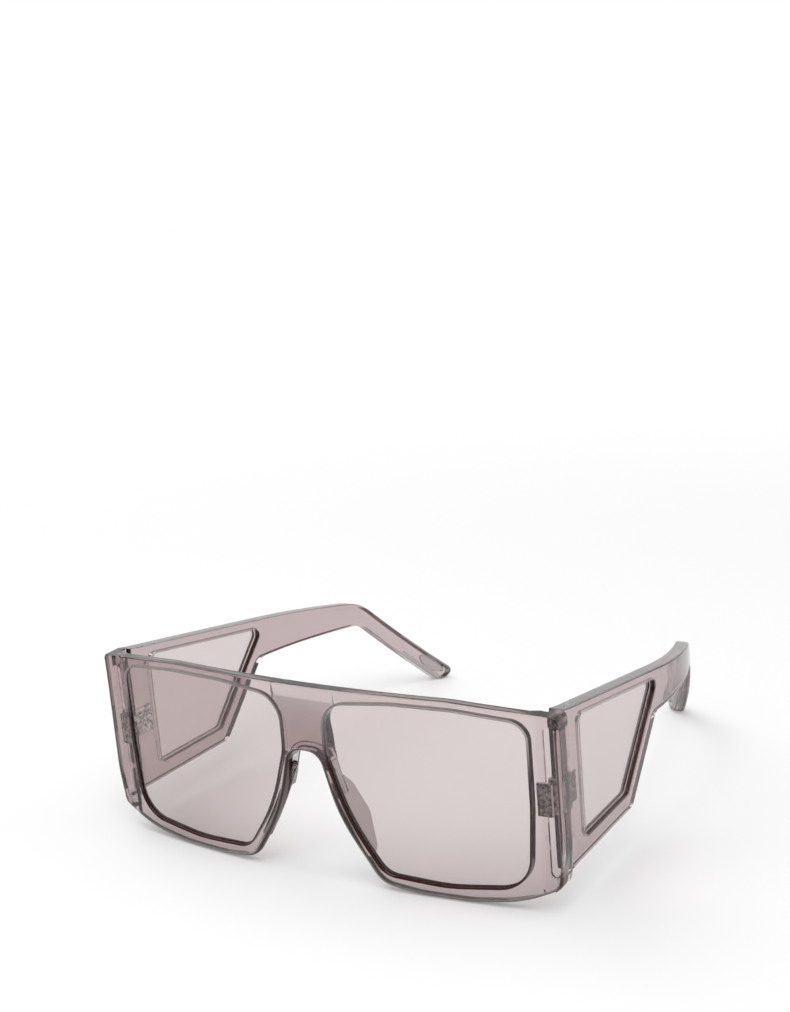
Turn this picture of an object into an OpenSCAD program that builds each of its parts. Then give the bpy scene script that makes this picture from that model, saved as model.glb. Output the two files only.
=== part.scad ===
// Oversized flat-top sunglasses with side lenses, standing open on their rims and temple tips.
// +X is the wearer's left, +Y runs back along the temples, +Z is up. Left parts are at +X.

/* [Front lenses] */
// Width of one front lens opening
lens_w = 58.2; // [56:0.1:61]
// Height of one front lens opening
lens_h = 49.4; // [46:0.1:53]
// Thickness of all four lenses
lens_t = 1.9; // [1.6:0.1:2.1]
// Depth that a lens edge reaches into its groove
groove_d = 0.6; // [0.4:0.1:0.8]
// Clearance between a lens and its groove
lens_gap = 0.05; // [0.03:0.01:0.08]

/* [Front frame] */
// Distance between the two lens openings across the bridge
bridge_w = 14.3; // [13:0.1:16]
// Height of the bridge from the nose arch to the top edge
bridge_h = 19.1; // [17.5:0.1:20.5]
// Depth of the bridge behind the rest of the front
bridge_d = 2.8; // [2:0.1:3.4]
// Width of the nose arch at its top, before its corners are rounded
arch_w = 9.4; // [8.6:0.1:10.4]
// Width from a lens opening to the outer side
side_w = 8.7; // [8.2:0.1:9.4]
// Height of the brow above a lens
brow_h = 2.8; // [2.2:0.1:3.6]
// Height of the rim below a lens
rim_low = 4; // [3.4:0.1:4.8]
// Width of the rim beside the nose
rim_nose = 3.2; // [2.6:0.1:3.6]
// Thickness of the front from front to back
front_t = 3.2; // [3:0.1:3.5]
// Radius of the front's curve, seen from above
face_r = 386; // [340:2:440]
// Depth of the return wall at each end, from the back of the rim to the joint
wall_d = 2.9; // [2.9:0.05:3.5]
// Thickness of the return wall
wall_t = 2.4; // [2.2:0.1:2.7]
// Width of the hinge slot between the return wall and the outer rim
slot_w = 2.9; // [2.7:0.1:3.1]
// Radius of the upright front corners
corner_r = 2; // [1.5:0.1:2.3]

/* [Nose pads] */
// Length of a moulded pad along the nose
pad_len = 25; // [22:0.5:27]
// Depth of a pad behind the front
pad_d = 6.6; // [5:0.1:7.5]
// Thickness of a pad
pad_t = 1.8; // [1.5:0.1:2.2]
// Angle by which the pads open towards the wearer
pad_flare = 24; // [15:1:30]
// Depth of the saddle behind the nose arch
saddle_d = 3.8; // [3:0.1:5]

/* [Temples] */
// Length of a temple from the joint to its tip, measured straight back
temple_len = 136; // [131:0.1:141]
// Thickness of a temple
temple_t = 4.3; // [4:0.1:4.6]
// Height from the table to a temple's lower edge
temple_low = 10.1; // [9.4:0.1:10.8]
// Drop from the middle of the front's top edge to its ends and to the temples' top edges
top_drop = 2.2; // [1.8:0.1:3]
// Slope of a temple's top edge
top_slope = 9.9; // [8.5:0.05:11]
// Height of the arm where it leaves the side window
neck_h = 12.9; // [12:0.1:14]
// Height of the arm above the bend
arm_h = 7.8; // [7.2:0.1:8.6]
// Width of the tip
tip_w = 5.4; // [5:0.1:6.4]
// Angle of the tip below level
tip_slope = 47; // [43:1:50]
// Angle by which a straight temple leans inwards
splay = 1.7; // [0.6:0.1:2.6]
// Radius of the inward bow behind the side window
bow_r = 130; // [120:1:150]

/* [Side windows] */
// Distance from the joint to the side window
window_y = 9; // [8:0.1:10]
// Width of the bars below and behind the side window
bar_low = 5; // [4.4:0.1:5.6]
// Width of the bar above the side window
bar_top = 3.1; // [2.6:0.1:3.6]

/* [Hinges] */
// Height of a five-knuckle hinge
hinge_h = 9; // [8:0.1:10]
// Height from the table to the middle of a hinge
hinge_z = 31; // [27:0.5:33]
// Outer radius of a knuckle
knuckle_r = 1.35; // [1.25:0.05:1.35]
// Running gap between neighbouring knuckles
knuckle_gap = 0.1; // [0.06:0.01:0.15]
// Radius of the hinge screw
screw_r = 0.6; // [0.5:0.05:0.65]
// Running clearance round the screw
screw_gap = 0.05; // [0.03:0.01:0.08]
// Thickness of a hinge leaf
leaf_t = 1.1; // [1:0.05:1.2]
// Length of the leaf let into a temple
leaf_len = 6.8; // [5:0.1:7]

/* [Hidden] */
$fn = 64;

frame_colour = [0.66, 0.58, 0.59];
lens_colour = [0.88, 0.81, 0.80];
metal_colour = [0.62, 0.60, 0.58];

overrun = 1;
arc_step = 7.5;
joint_gap = 0.15;
wall_gap = 0.4;
part_gap = 0.05;
half_w = bridge_w / 2 + lens_w + side_w;
front_h = rim_low + lens_h + brow_h;
lens_out_x = bridge_w / 2 + lens_w;
wall_x = half_w - wall_t;
rib_x = wall_x - slot_w;

// Depth of the curved front surface at x, or of a surface that lies depth behind it
function face_y(x, depth) = face_r - sqrt(pow(face_r - depth, 2) - x * x);

front_depth = face_y(wall_x, front_t) + wall_d;
lens_sink = (front_t - lens_t) / 2;

// Hinge axis, tucked between the return wall and the joint
axis_x = wall_x - wall_gap - knuckle_r;
axis_y = front_depth - knuckle_r;
joint_y = front_depth + joint_gap;
axis_clear = axis_x + joint_gap;
temple_inset = 1.1;
temple_x = half_w - temple_inset;

function unit(v) = v / norm(v);
function flat(rows) = [for (row = rows) for (item = row) item];
function flipped(list) = [for (i = [len(list) - 1:-1:0]) list[i]];
function mirrored(list) = [for (p = flipped(list)) [-p.x, p.y, p[2]]];

// Where the line through p along u meets the line through q along v
function meet(p, u, q, v) = p + u * (cross(q - p, v) / cross(u, v));

// The arc that rounds corner c between its neighbours p and n, by radius r or what fits
function corner_arc(p, c, n, r) =
    let (
        to_p = unit([p.x - c.x, p.y - c.y]),
        to_n = unit([n.x - c.x, n.y - c.y]),
        half = acos(max(-1, min(1, to_p * to_n))) / 2,
        room = min(norm([p.x - c.x, p.y - c.y]), norm([n.x - c.x, n.y - c.y])) / 2,
        fit = min(r, room * tan(half)),
        centre = [c.x, c.y] + unit(to_p + to_n) * (fit / sin(half)),
        start = [c.x, c.y] + to_p * (fit / tan(half)) - centre,
        first = atan2(start.y, start.x),
        turn = (cross(to_p, to_n) < 0 ? 1 : -1) * (180 - 2 * half),
        steps = max(1, ceil(abs(turn) / arc_step))
    )
    [for (i = [0:steps]) centre + fit * [cos(first + turn * i / steps), sin(first + turn * i / steps)]];

// An outline through corners [x, y, radius], listed anticlockwise
function rounded(corners) =
    let (n = len(corners))
    flat([for (i = [0:n - 1])
        corner_arc(corners[(i + n - 1) % n], corners[i], corners[(i + 1) % n], corners[i][2])]);

// An anticlockwise outline moved outwards by d
function grown(points, d) =
    let (n = len(points))
    [for (i = [0:n - 1])
        let (
            before = unit(points[i] - points[(i + n - 1) % n]),
            after = unit(points[(i + 1) % n] - points[i]),
            a = [before.y, -before.x],
            b = [after.y, -after.x]
        )
        points[i] + (a + b) * (d / (1 + a * b))];

// Lens corners: across as a share of lens_w, up and radius as shares of lens_h
lens_shares = [
    [0.267, 0.018, 0.132], [0.585, 0, 1.2], [0.972, 0.051, 0.193], [0.998, 0.5, 1.6],
    [1, 0.962, 0.102], [0.658, 1, 1.2], [0.347, 1, 1.2], [0, 0.957, 0.153],
    [0.001, 0.66, 0.25], [0.094, 0.314, 1.2]
];
lens_corners = [for (s = lens_shares)
    [bridge_w / 2 + s.x * lens_w, rim_low + s.y * lens_h, s[2] * lens_h]];
lens_points = rounded(lens_corners);

// Direction from the lens corners beside the nose to the edge of the front, per unit of rim width
nose_side_shares = [-0.93, -0.38];
nose_foot_shares = [-0.56, -1.12];
arch_r = arch_w / 2;
nose_r = 8;
sole_r = 40;
foot_r = 4;
side_r = 40;
top_r = 1.5;
brow_r = 60;
// Places of the lower edge's corners: across as shares of lens_w, up as shares of rim_low
sole_shares = [[0.433, 0], [0.692, 0], [0.936, 0.42]];
foot_in = 1.7;
foot_z = 6.6;
side_z = 18;
brow_share = 0.64;
nose_side = [lens_corners[9].x, lens_corners[9].y] + nose_side_shares * rim_nose;
nose_foot = [lens_corners[0].x, lens_corners[0].y] + nose_foot_shares * rim_nose;
half_corners = concat(
    [[arch_w / 2, front_h - bridge_h, arch_r]],
    [[nose_side.x, nose_side.y, brow_r], [nose_foot.x, nose_foot.y, nose_r]],
    [for (s = sole_shares) [bridge_w / 2 + s.x * lens_w, s.y * rim_low, sole_r]],
    [[half_w - foot_in, foot_z, foot_r], [half_w, side_z, side_r]],
    [[half_w, front_h - top_drop, top_r], [bridge_w / 2 + brow_share * lens_w, front_h, brow_r]]
);
front_points = rounded(concat(half_corners, mirrored(half_corners)));

// Side view of a temple: y from the joint, z from the table
temple_top = front_h - top_drop;
top_line = [1, -tan(top_slope)];
tip_line = [cos(tip_slope), -sin(tip_slope)];
tip_up = [sin(tip_slope), cos(tip_slope)];
tip_r = tip_w * 0.42;
tip_centre = [temple_len - tip_r - (tip_w - 2 * tip_r) * tip_up.x, tip_r];
tip_low_end = tip_centre + (tip_line - tip_up) * tip_r;
tip_top_end = tip_low_end + tip_up * tip_w;
bend_top = meet([0, temple_top], top_line, tip_top_end, tip_line);
bend_low = meet([0, bend_top.y - arm_h], [1, 0], tip_low_end, tip_line);
neck_share = 0.439;
heel_share = 0.294;
neck = [neck_share * temple_len, temple_top + top_line.y * neck_share * temple_len - neck_h];
heel = [heel_share * temple_len, temple_low];
end_r = 1;
bend_r = 16;
inner_bend_r = 9;
neck_r = 5;
heel_r = 3;
window_r = 2;
temple_corners = [
    [-overrun, temple_low, 0.01 * end_r], [heel.x, heel.y, heel_r], [neck.x, neck.y, neck_r],
    [bend_low.x, bend_low.y, inner_bend_r], [tip_low_end.x, tip_low_end.y, tip_r],
    [tip_top_end.x, tip_top_end.y, tip_r], [bend_top.x, bend_top.y, bend_r],
    [-overrun, temple_top - overrun * top_line.y, 0.01 * end_r]
];
temple_points = rounded(temple_corners);

// The side window keeps its bars' widths from the temple's edges
heel_line = unit(neck - heel);
heel_in = [-heel_line.y, heel_line.x];
window_top = [0, temple_top - bar_top / cos(top_slope)];
window_corners = [
    [window_y, temple_low + bar_low, window_r],
    concat(meet([0, temple_low + bar_low], [1, 0], heel + heel_in * bar_low, heel_line), window_r),
    concat(meet(window_top, top_line, heel + heel_in * bar_low, heel_line), window_r),
    concat(meet(window_top, top_line, [window_y, 0], [0, 1]), window_r)
];
window_points = rounded(window_corners);
bow_y = window_corners[2].x + groove_d;
side_lens_x = (lens_t - temple_t) / 2;

// The tips' furthest reach sets the middle of the part
bow_turn = asin((temple_len - bow_y) / bow_r);
overall_d = joint_y + temple_len * cos(splay) - bow_r * (1 - cos(bow_turn)) * sin(splay);

module on_side(side) {
    translate([0, -overall_d / 2, 0])
        mirror([side < 0 ? 1 : 0, 0, 0])
            children();
}

// A solid whose front view is the given outline, from depth y0 to y1
module front_prism(points, y0, y1) {
    translate([0, y1, 0])
        rotate([90, 0, 0])
            linear_extrude(y1 - y0)
                polygon(points);
}

// A solid round upright cylinder about the centre of the front's curve
module face_cylinder(depth) {
    translate([0, face_r, -overrun])
        cylinder(r = face_r - depth, h = front_h + 2 * overrun, $fn = 360);
}

// A block that runs the full height of the front
module tall_block(x0, x1, y0, y1) {
    translate([x0, y0, -overrun])
        cube([x1 - x0, y1 - y0, front_h + 2 * overrun]);
}

// The slot in each end that takes the hinge, with round ends, cut from the back
slot_low = 9.2;
slot_top_in = 5.6;
module hinge_slot() {
    r = slot_w / 2;
    z0 = slot_low + r;
    z1 = front_h - slot_top_in - r;
    intersection() {
        face_cylinder(front_t);
        union() {
            translate([rib_x, 0, z0])
                cube([slot_w, front_depth + overrun, z1 - z0]);
            for (z = [z0, z1])
                translate([rib_x + r, 0, z])
                    rotate([-90, 0, 0])
                        cylinder(r = r, h = front_depth + overrun);
        }
    }
}

// The solid bridge between the lens openings, below the brow
module bridge_body() {
    translate([-bridge_w, 0, front_h - bridge_h])
        cube([2 * bridge_w, front_t + bridge_d, bridge_h - brow_h]);
}

// What is cut from an upright front corner to round it
module corner_cut() {
    lean = asin(half_w / face_r);
    corner = [half_w, face_y(half_w, 0)];
    along = 4 * corner_r;
    arc = corner_arc(corner - along * [cos(lean), sin(lean)], corner, corner + [0, along], corner_r);
    last = arc[len(arc) - 1];
    translate([0, 0, -overrun])
        linear_extrude(front_h + 2 * overrun)
            polygon(concat(arc, [
                [half_w + overrun, last.y],
                [half_w + overrun, arc[0].y - overrun],
                [arc[0].x, arc[0].y - overrun]
            ]));
}

// Seat of the front hinge leaf, let into the back of the rim
base_in = 3.3;
base_out = 0.6;
base_sink = 1;
base_t = 1.2;
base_y = face_y(axis_x - base_in / 2, front_t) - base_sink;
module base_block(gap, back) {
    translate([axis_x - base_in - gap, base_y - gap, hinge_z - hinge_h / 2 - gap])
        cube([base_in + base_out + 2 * gap, base_t + gap + back, hinge_h + 2 * gap]);
}

// One moulded nose pad: a leaf-shaped wing behind the rim beside the nose
pad_shares = [[0, 0, 0.04], [0, 1, 0.25], [0.86, 0.9, 0.6], [1.02, 0.62, 0.6], [0.55, 0.12, 0.5]];
pad_root = 0.4;
pad_top_z = front_h - bridge_h - saddle_d - 2.4 * pad_t;
pad_lean = atan2(nose_foot.x - arch_w / 2 - pad_t, pad_top_z - nose_foot.y);
module nose_pad() {
    corners = [for (s = pad_shares) [s.x * pad_d - pad_root, (s.y - 1) * pad_len, s[2] * pad_d]];
    translate([arch_w / 2 + pad_t, front_t, pad_top_z])
        rotate([0, -pad_lean, 0])
            rotate([0, 0, 90 - pad_flare])
                rotate([90, 0, 0])
                    translate([0, 0, -pad_t / 2])
                        linear_extrude(pad_t)
                            polygon(rounded([for (i = [0, 4, 3, 2, 1]) corners[i]]));
}

// The saddle that carries the arch back to the pads
module saddle() {
    reach = arch_w / 2 + 2 * pad_t;
    intersection() {
        front_prism(front_points, front_t - pad_root, front_t + saddle_d);
        translate([-reach, 0, pad_top_z - pad_t])
            cube([2 * reach, front_t + saddle_d + overrun, bridge_h]);
        difference() {
            front_prism(grown(front_points, overrun), 0, front_t + saddle_d + overrun);
            front_prism(grown(front_points, -pad_t), -overrun, front_t + saddle_d + 2 * overrun);
        }
    }
}

module front_frame() color(frame_colour) {
    on_side(1) {
        difference() {
            union() {
                difference() {
                    intersection() {
                        front_prism(front_points, -overrun, front_depth);
                        face_cylinder(0);
                    }
                    difference() {
                        intersection() {
                            face_cylinder(front_t);
                            tall_block(-lens_out_x, lens_out_x, 0, front_depth + overrun);
                        }
                        bridge_body();
                    }
                    for (side = [0, 1]) mirror([side, 0, 0]) {
                        tall_block(lens_out_x - overrun, axis_clear,
                            axis_y - knuckle_r, front_depth + overrun);
                        hinge_slot();
                        corner_cut();
                        base_block(part_gap, overrun);
                        front_prism(lens_points, -overrun, front_depth + overrun);
                    }
                }
                for (side = [0, 1]) mirror([side, 0, 0]) nose_pad();
                saddle();
            }
            for (side = [0, 1]) mirror([side, 0, 0])
                intersection() {
                    front_prism(grown(lens_points, groove_d + lens_gap), -overrun, front_depth);
                    difference() {
                        face_cylinder(lens_sink - lens_gap);
                        face_cylinder(lens_sink + lens_t + lens_gap);
                    }
                }
        }
    }
}

module front_lens(side) color(lens_colour)
    on_side(side)
        intersection() {
            front_prism(grown(lens_points, groove_d), -overrun, front_depth);
            difference() {
                face_cylinder(lens_sink);
                face_cylinder(lens_sink + lens_t);
            }
        }

// Puts a piece drawn about the temple's outer face in its place at the joint
module at_temple() {
    translate([temple_x, joint_y, 0])
        rotate([0, 0, splay])
            children();
}

// A solid whose side view is the given outline, from x0 to x1 across the temple
module side_prism(points, x0, x1) {
    translate([x0, 0, 0])
        rotate([90, 0, 90])
            linear_extrude(x1 - x0)
                polygon(points);
}

// The plan of a temple: straight past the window, then bowed inwards
module temple_plan() {
    tall = front_h + overrun;
    translate([-temple_t, -overrun, 0])
        cube([temple_t, bow_y + overrun, tall]);
    intersection() {
        translate([-bow_r, bow_y, 0])
            difference() {
                cylinder(r = bow_r, h = tall, $fn = 180);
                translate([0, 0, -overrun])
                    cylinder(r = bow_r - temple_t, h = tall + 2 * overrun, $fn = 180);
            }
        translate([-bow_r, bow_y, 0])
            cube([bow_r + overrun, temple_len, tall]);
    }
}

// A shallow oval patch in the inner face of the tip
patch_len = 10;
patch_w = 3.8;
patch_d = 0.5;
patch_share = 0.05;
patch_y = temple_len * (1 - patch_share);
module tip_patch() {
    turn = asin((patch_y - bow_y) / bow_r);
    mid = tip_top_end - tip_up * tip_w / 2;
    back = (temple_len * patch_share - tip_r / 2) / tip_line.x;
    centre = mid - tip_line * back;
    half = (patch_len - patch_w) / 2;
    inner = bow_r - temple_t;
    translate([inner * cos(turn) - bow_r, bow_y + inner * sin(turn), centre.y])
        rotate([0, 0, turn])
            rotate([-tip_slope, 0, 0]) {
                translate([-overrun, -half, -patch_w / 2])
                    cube([overrun + patch_d, 2 * half, patch_w]);
                for (y = [-half, half])
                    translate([-overrun, y, 0])
                        rotate([0, 90, 0])
                            cylinder(d = patch_w, h = overrun + patch_d);
            }
}

// The leaf let into a temple, in the temple's own place
leaf_drop = 0.8;
leaf_h = hinge_h - leaf_drop;
leaf_in = temple_x - temple_t - axis_x;
module leaf_block(gap) {
    translate([-temple_t - overrun, 0, hinge_z - leaf_h / 2 - gap])
        cube([overrun + leaf_t + gap, leaf_len + gap, leaf_h + 2 * gap]);
}

module temple(side) color(frame_colour)
    on_side(side)
        difference() {
            at_temple()
                difference() {
                    intersection() {
                        side_prism(temple_points, -bow_r, overrun);
                        temple_plan();
                    }
                    side_prism(window_points, -temple_t - overrun, overrun);
                    side_prism(grown(window_points, groove_d + lens_gap),
                        side_lens_x - lens_t - lens_gap, side_lens_x + lens_gap);
                    leaf_block(part_gap);
                    tip_patch();
                }
            tall_block(0, half_w + overrun, 0, joint_y);
        }

module side_lens(side) color(lens_colour)
    on_side(side)
        at_temple()
            side_prism(grown(window_points, groove_d), side_lens_x - lens_t, side_lens_x);

// The five knuckles share the hinge's height, and the front carries the odd ones
knuckles = 5;
knuckle_h = (hinge_h - (knuckles - 1) * knuckle_gap) / knuckles;
function knuckle_z(i) = hinge_z - hinge_h / 2 + i * (knuckle_h + knuckle_gap);

module knuckle(i) {
    translate([axis_x, axis_y, knuckle_z(i)])
        cylinder(r = knuckle_r, h = knuckle_h);
}

module screw_bore() {
    translate([axis_x, axis_y, hinge_z - hinge_h / 2 - overrun])
        cylinder(r = screw_r + screw_gap, h = hinge_h + 2 * overrun);
}

web_t = 1.1;
module front_hinge(side) color(metal_colour)
    on_side(side)
        difference() {
            union() {
                base_block(0, 0);
                for (i = [0, 2, 4]) {
                    knuckle(i);
                    translate([axis_x - web_t / 2, base_y, knuckle_z(i)])
                        cube([web_t, axis_y - base_y, knuckle_h]);
                }
            }
            screw_bore();
        }

module temple_hinge(side) color(metal_colour)
    on_side(side)
        difference() {
            union() {
                difference() {
                    at_temple()
                        translate([-temple_t, 0, hinge_z - leaf_h / 2])
                            cube([leaf_t, leaf_len, leaf_h]);
                    tall_block(0, half_w, 0, joint_y);
                }
                for (i = [1, 3]) {
                    knuckle(i);
                    translate([axis_x + leaf_in, axis_y, knuckle_z(i)])
                        cube([leaf_t, joint_y - axis_y + overrun, knuckle_h]);
                }
            }
            screw_bore();
        }

head_r = 1.2;
head_h = 0.6;
driver_w = 0.3;
module hinge_screw(side) color(metal_colour)
    on_side(side)
        translate([axis_x, axis_y, hinge_z]) {
            translate([0, 0, -hinge_h / 2])
                cylinder(r = screw_r, h = hinge_h);
            translate([0, 0, hinge_h / 2])
                difference() {
                    cylinder(r = head_r, h = head_h);
                    translate([-head_r - overrun, -driver_w / 2, head_h / 2])
                        cube([2 * (head_r + overrun), driver_w, head_h]);
                }
        }

front_frame();
front_lens(1);  // front_lens_left
front_lens(-1);  // front_lens_right
front_hinge(1);  // front_hinge_left
front_hinge(-1);  // front_hinge_right
temple(1);  // temple_left
temple(-1);  // temple_right
side_lens(1);  // side_lens_left
side_lens(-1);  // side_lens_right
temple_hinge(1);  // temple_hinge_left
temple_hinge(-1);  // temple_hinge_right
hinge_screw(1);  // hinge_screw_left
hinge_screw(-1);  // hinge_screw_right
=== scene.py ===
import math
import bpy
import bmesh
from mathutils import Matrix, Vector
from mathutils.geometry import delaunay_2d_cdt
from mathutils.kdtree import KDTree


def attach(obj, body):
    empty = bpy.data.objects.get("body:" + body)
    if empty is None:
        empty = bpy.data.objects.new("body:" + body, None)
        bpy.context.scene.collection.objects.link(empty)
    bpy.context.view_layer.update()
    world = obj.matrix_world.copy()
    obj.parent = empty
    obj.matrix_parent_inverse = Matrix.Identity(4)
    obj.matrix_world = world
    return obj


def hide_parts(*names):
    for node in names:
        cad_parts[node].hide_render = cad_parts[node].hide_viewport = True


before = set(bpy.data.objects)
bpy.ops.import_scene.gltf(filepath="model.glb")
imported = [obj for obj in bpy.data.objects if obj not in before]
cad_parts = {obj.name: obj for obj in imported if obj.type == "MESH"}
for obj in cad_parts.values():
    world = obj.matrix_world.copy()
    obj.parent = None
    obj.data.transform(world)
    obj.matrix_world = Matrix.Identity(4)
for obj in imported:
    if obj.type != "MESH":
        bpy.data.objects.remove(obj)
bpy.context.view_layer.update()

# The front is injection moulded in one piece of clear smoky mauve plastic and polished: two deep
# rims under a level brow, a solid bridge between them, and a thick end on each side that turns
# back to the hinge. Every outer edge is eased, the lower rims most.
MM = 0.001
OVERALL_DEPTH = 148.277
LENS_W = 58.2
LENS_H = 49.4
BRIDGE_W = 14.3
BRIDGE_H = 19.1
ARCH_W = 9.4
SIDE_W = 8.7
BROW_H = 2.8
RIM_LOW = 4.0
RIM_NOSE = 3.2
FRONT_T = 3.2
FACE_R = 386.0
WALL_D = 2.9
WALL_T = 2.4
SLOT_W = 2.9
TOP_DROP = 2.2
LENS_T = 1.9
GROOVE_D = 0.6
LENS_GAP = 0.05
OPENING_R = 0.58
SOFT_R = 1.7
RIM_R = 0.8
END_R = 0.7
END_TOP_R = 0.5
BROW_R = 0.45
BACK_LOW_R = 1.1
BACK_R = 0.4
BACK_END_R = 0.02
TRUE_EDGE = math.radians(32)
HALF_W = BRIDGE_W / 2 + LENS_W + SIDE_W
FRONT_H = RIM_LOW + LENS_H + BROW_H
LENS_OUT = BRIDGE_W / 2 + LENS_W
WALL_X = HALF_W - WALL_T
LENS_SINK = (FRONT_T - LENS_T) / 2


def corner_arc(before, corner, after, radius):
    """The points that round one corner of an outline, at most 7 degrees and 1.3 mm apart."""
    to_before = (before - corner).normalized()
    to_after = (after - corner).normalized()
    half = math.acos(max(-1.0, min(1.0, to_before.dot(to_after)))) / 2
    room = min((before - corner).length, (after - corner).length) / 2
    fit = min(radius, room * math.tan(half))
    centre = corner + (to_before + to_after).normalized() * (fit / math.sin(half))
    start = corner + to_before * (fit / math.tan(half)) - centre
    first = math.atan2(start.y, start.x)
    cross = to_before.x * to_after.y - to_before.y * to_after.x
    turn = (1 if cross < 0 else -1) * (math.pi - 2 * half)
    by_angle = math.ceil(abs(turn) / math.radians(7))
    by_length = math.ceil(abs(turn) * fit / 1.3)
    steps = max(2, by_angle, by_length)
    angles = [first + turn * i / steps for i in range(steps + 1)]
    return [centre + Vector((math.cos(a), math.sin(a))) * fit for a in angles]


def rounded(corners, step=1.6):
    """An outline through corners (across, up, radius), with points no further apart than step."""
    points = []
    count = len(corners)
    for i in range(count):
        before, corner, after = (Vector(corners[(i + k) % count][:2]) for k in (-1, 0, 1))
        for p in corner_arc(before, corner, after, corners[i][2]):
            if not points or (p - points[-1]).length > 0.02:
                points.append(p)
    if (points[0] - points[-1]).length < 0.02:
        points.pop()
    filled = []
    for p, q in zip(points, points[1:] + points[:1]):
        pieces = max(1, math.ceil((q - p).length / step))
        filled += [p.lerp(q, k / pieces) for k in range(pieces)]
    return filled


def moved_in(points, distances):
    """The outline with each point moved towards the inside by its own distance."""
    moved = []
    count = len(points)
    for i, p in enumerate(points):
        before = (p - points[i - 1]).normalized()
        after = (points[(i + 1) % count] - p).normalized()
        a = Vector((-before.y, before.x))
        b = Vector((-after.y, after.x))
        moved.append(p + (a + b) * (distances[i] / max(0.4, 1 + a.dot(b))))
    return moved


def edge_rings(points, thickness, front_r, back_r, sign=1, steps=6):
    """The moulding's edge from front to back: two quarter rounds, of one radius or each point's."""
    fr = [front_r(p) if callable(front_r) else front_r for p in points]
    br = [back_r(p) if callable(back_r) else back_r for p in points]
    rings = []
    for k in range(steps + 1):
        a = math.pi / 2 * k / steps
        rings.append((moved_in(points, [sign * r * (1 - math.sin(a)) for r in fr]),
                      [r * (1 - math.cos(a)) for r in fr]))
    for k in range(steps + 1):
        a = math.pi / 2 * k / steps
        rings.append((moved_in(points, [sign * r * (1 - math.cos(a)) for r in br]),
                      [thickness - r * (1 - math.sin(a)) for r in br]))
    return rings


def grooved_rings(points, thickness, edge_r, sink):
    """A lens opening's edge: rounded at both faces, with the lens groove between them."""
    rings = edge_rings(points, thickness, edge_r, edge_r, sign=-1, steps=4)
    half = len(rings) // 2
    deep = moved_in(points, [-(GROOVE_D + LENS_GAP)] * len(points))
    low, high = sink - LENS_GAP, sink + LENS_T + LENS_GAP
    groove = [(points, [low] * len(points)), (deep, [low] * len(points)),
              (deep, [high] * len(points)), (points, [high] * len(points))]
    return rings[:half] + groove + rings[half:]


def inside(points, p):
    """Whether p lies within the outline."""
    odd = False
    for a, b in zip(points, points[1:] + points[:1]):
        if (a.y > p.y) != (b.y > p.y) and p.x < (b.x - a.x) * (p.y - a.y) / (b.y - a.y) + a.x:
            odd = not odd
    return odd


def moulding(name, outer, holes, place, thickness, grid=4.0):
    """One closed moulding: rings of points round its edges, filled by its front and back faces.

    The two faces also get points of their own, a grid's width apart, so that they can curve.
    """
    rims = [rings[0][0] for rings in [outer] + list(holes)]
    spots, faces, loops = [], [], []
    for rings in [outer] + list(holes):
        starts = []
        for points, depths in rings:
            starts.append(len(spots))
            spots += [(p.x, p.y, d) for p, d in zip(points, depths)]
        count = len(rings[0][0])
        for a, b in zip(starts, starts[1:]):
            for i in range(count):
                j = (i + 1) % count
                faces.append((a + i, a + j, b + j, b + i))
        loops.append((starts[0], starts[-1], count))
    xs = [p.x for p in rims[0]]
    ys = [p.y for p in rims[0]]
    middle = []
    across = math.ceil((max(xs) - min(xs)) / grid)
    up = math.ceil((max(ys) - min(ys)) / grid)
    for i in range(1, across):
        for j in range(1, up):
            p = Vector((min(xs) + i * grid, min(ys) + j * grid))
            if inside(rims[0], p) and not any(inside(r, p) for r in rims[1:]):
                if min((p - q).length for r in rims for q in r) > 0.55 * grid:
                    middle.append(p)
    for end, depth in ((0, 0.0), (1, thickness)):
        flat, owners, bounds, borders = [], [], [], []
        for loop in loops:
            first = len(flat)
            start, count = loop[end], loop[2]
            flat += [Vector(spots[start + i][:2]) for i in range(count)]
            owners += [start + i for i in range(count)]
            bounds += [(first + i, first + (i + 1) % count) for i in range(count)]
            borders.append(flat[first:first + count])
        for p in middle:
            flat.append(p)
            owners.append(len(spots))
            spots.append((p.x, p.y, depth))
        corners, _, cells, sources, _, _ = delaunay_2d_cdt(flat, bounds, [], 1, 1e-7)
        names = []
        for p, ids in zip(corners, sources):
            names.append(owners[ids[0]] if ids else len(spots))
            if not ids:
                spots.append((p.x, p.y, depth))
        for face in cells:
            centre = sum((corners[i] for i in face), Vector((0, 0))) / len(face)
            if inside(borders[0], centre) and not any(inside(b, centre) for b in borders[1:]):
                faces.append(tuple(names[i] for i in face))
    mesh = bpy.data.meshes.new(name)
    mesh.from_pydata([place(*s) * MM for s in spots], [], faces)
    return finished(name, mesh)


def finished(name, mesh):
    """The piece as an object with outward faces, smooth but for its true edges."""
    work = bmesh.new()
    work.from_mesh(mesh)
    bmesh.ops.remove_doubles(work, verts=work.verts, dist=1e-7)
    bmesh.ops.dissolve_degenerate(work, edges=work.edges, dist=1e-7)
    loose = [v for v in work.verts if not v.link_faces]
    bmesh.ops.delete(work, geom=loose, context="VERTS")
    bmesh.ops.recalc_face_normals(work, faces=work.faces)
    work.to_mesh(mesh)
    work.free()
    mesh.shade_smooth()
    mesh.set_sharp_from_angle(angle=TRUE_EDGE)
    piece = bpy.data.objects.new(name, mesh)
    bpy.context.scene.collection.objects.link(piece)
    return piece


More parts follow.
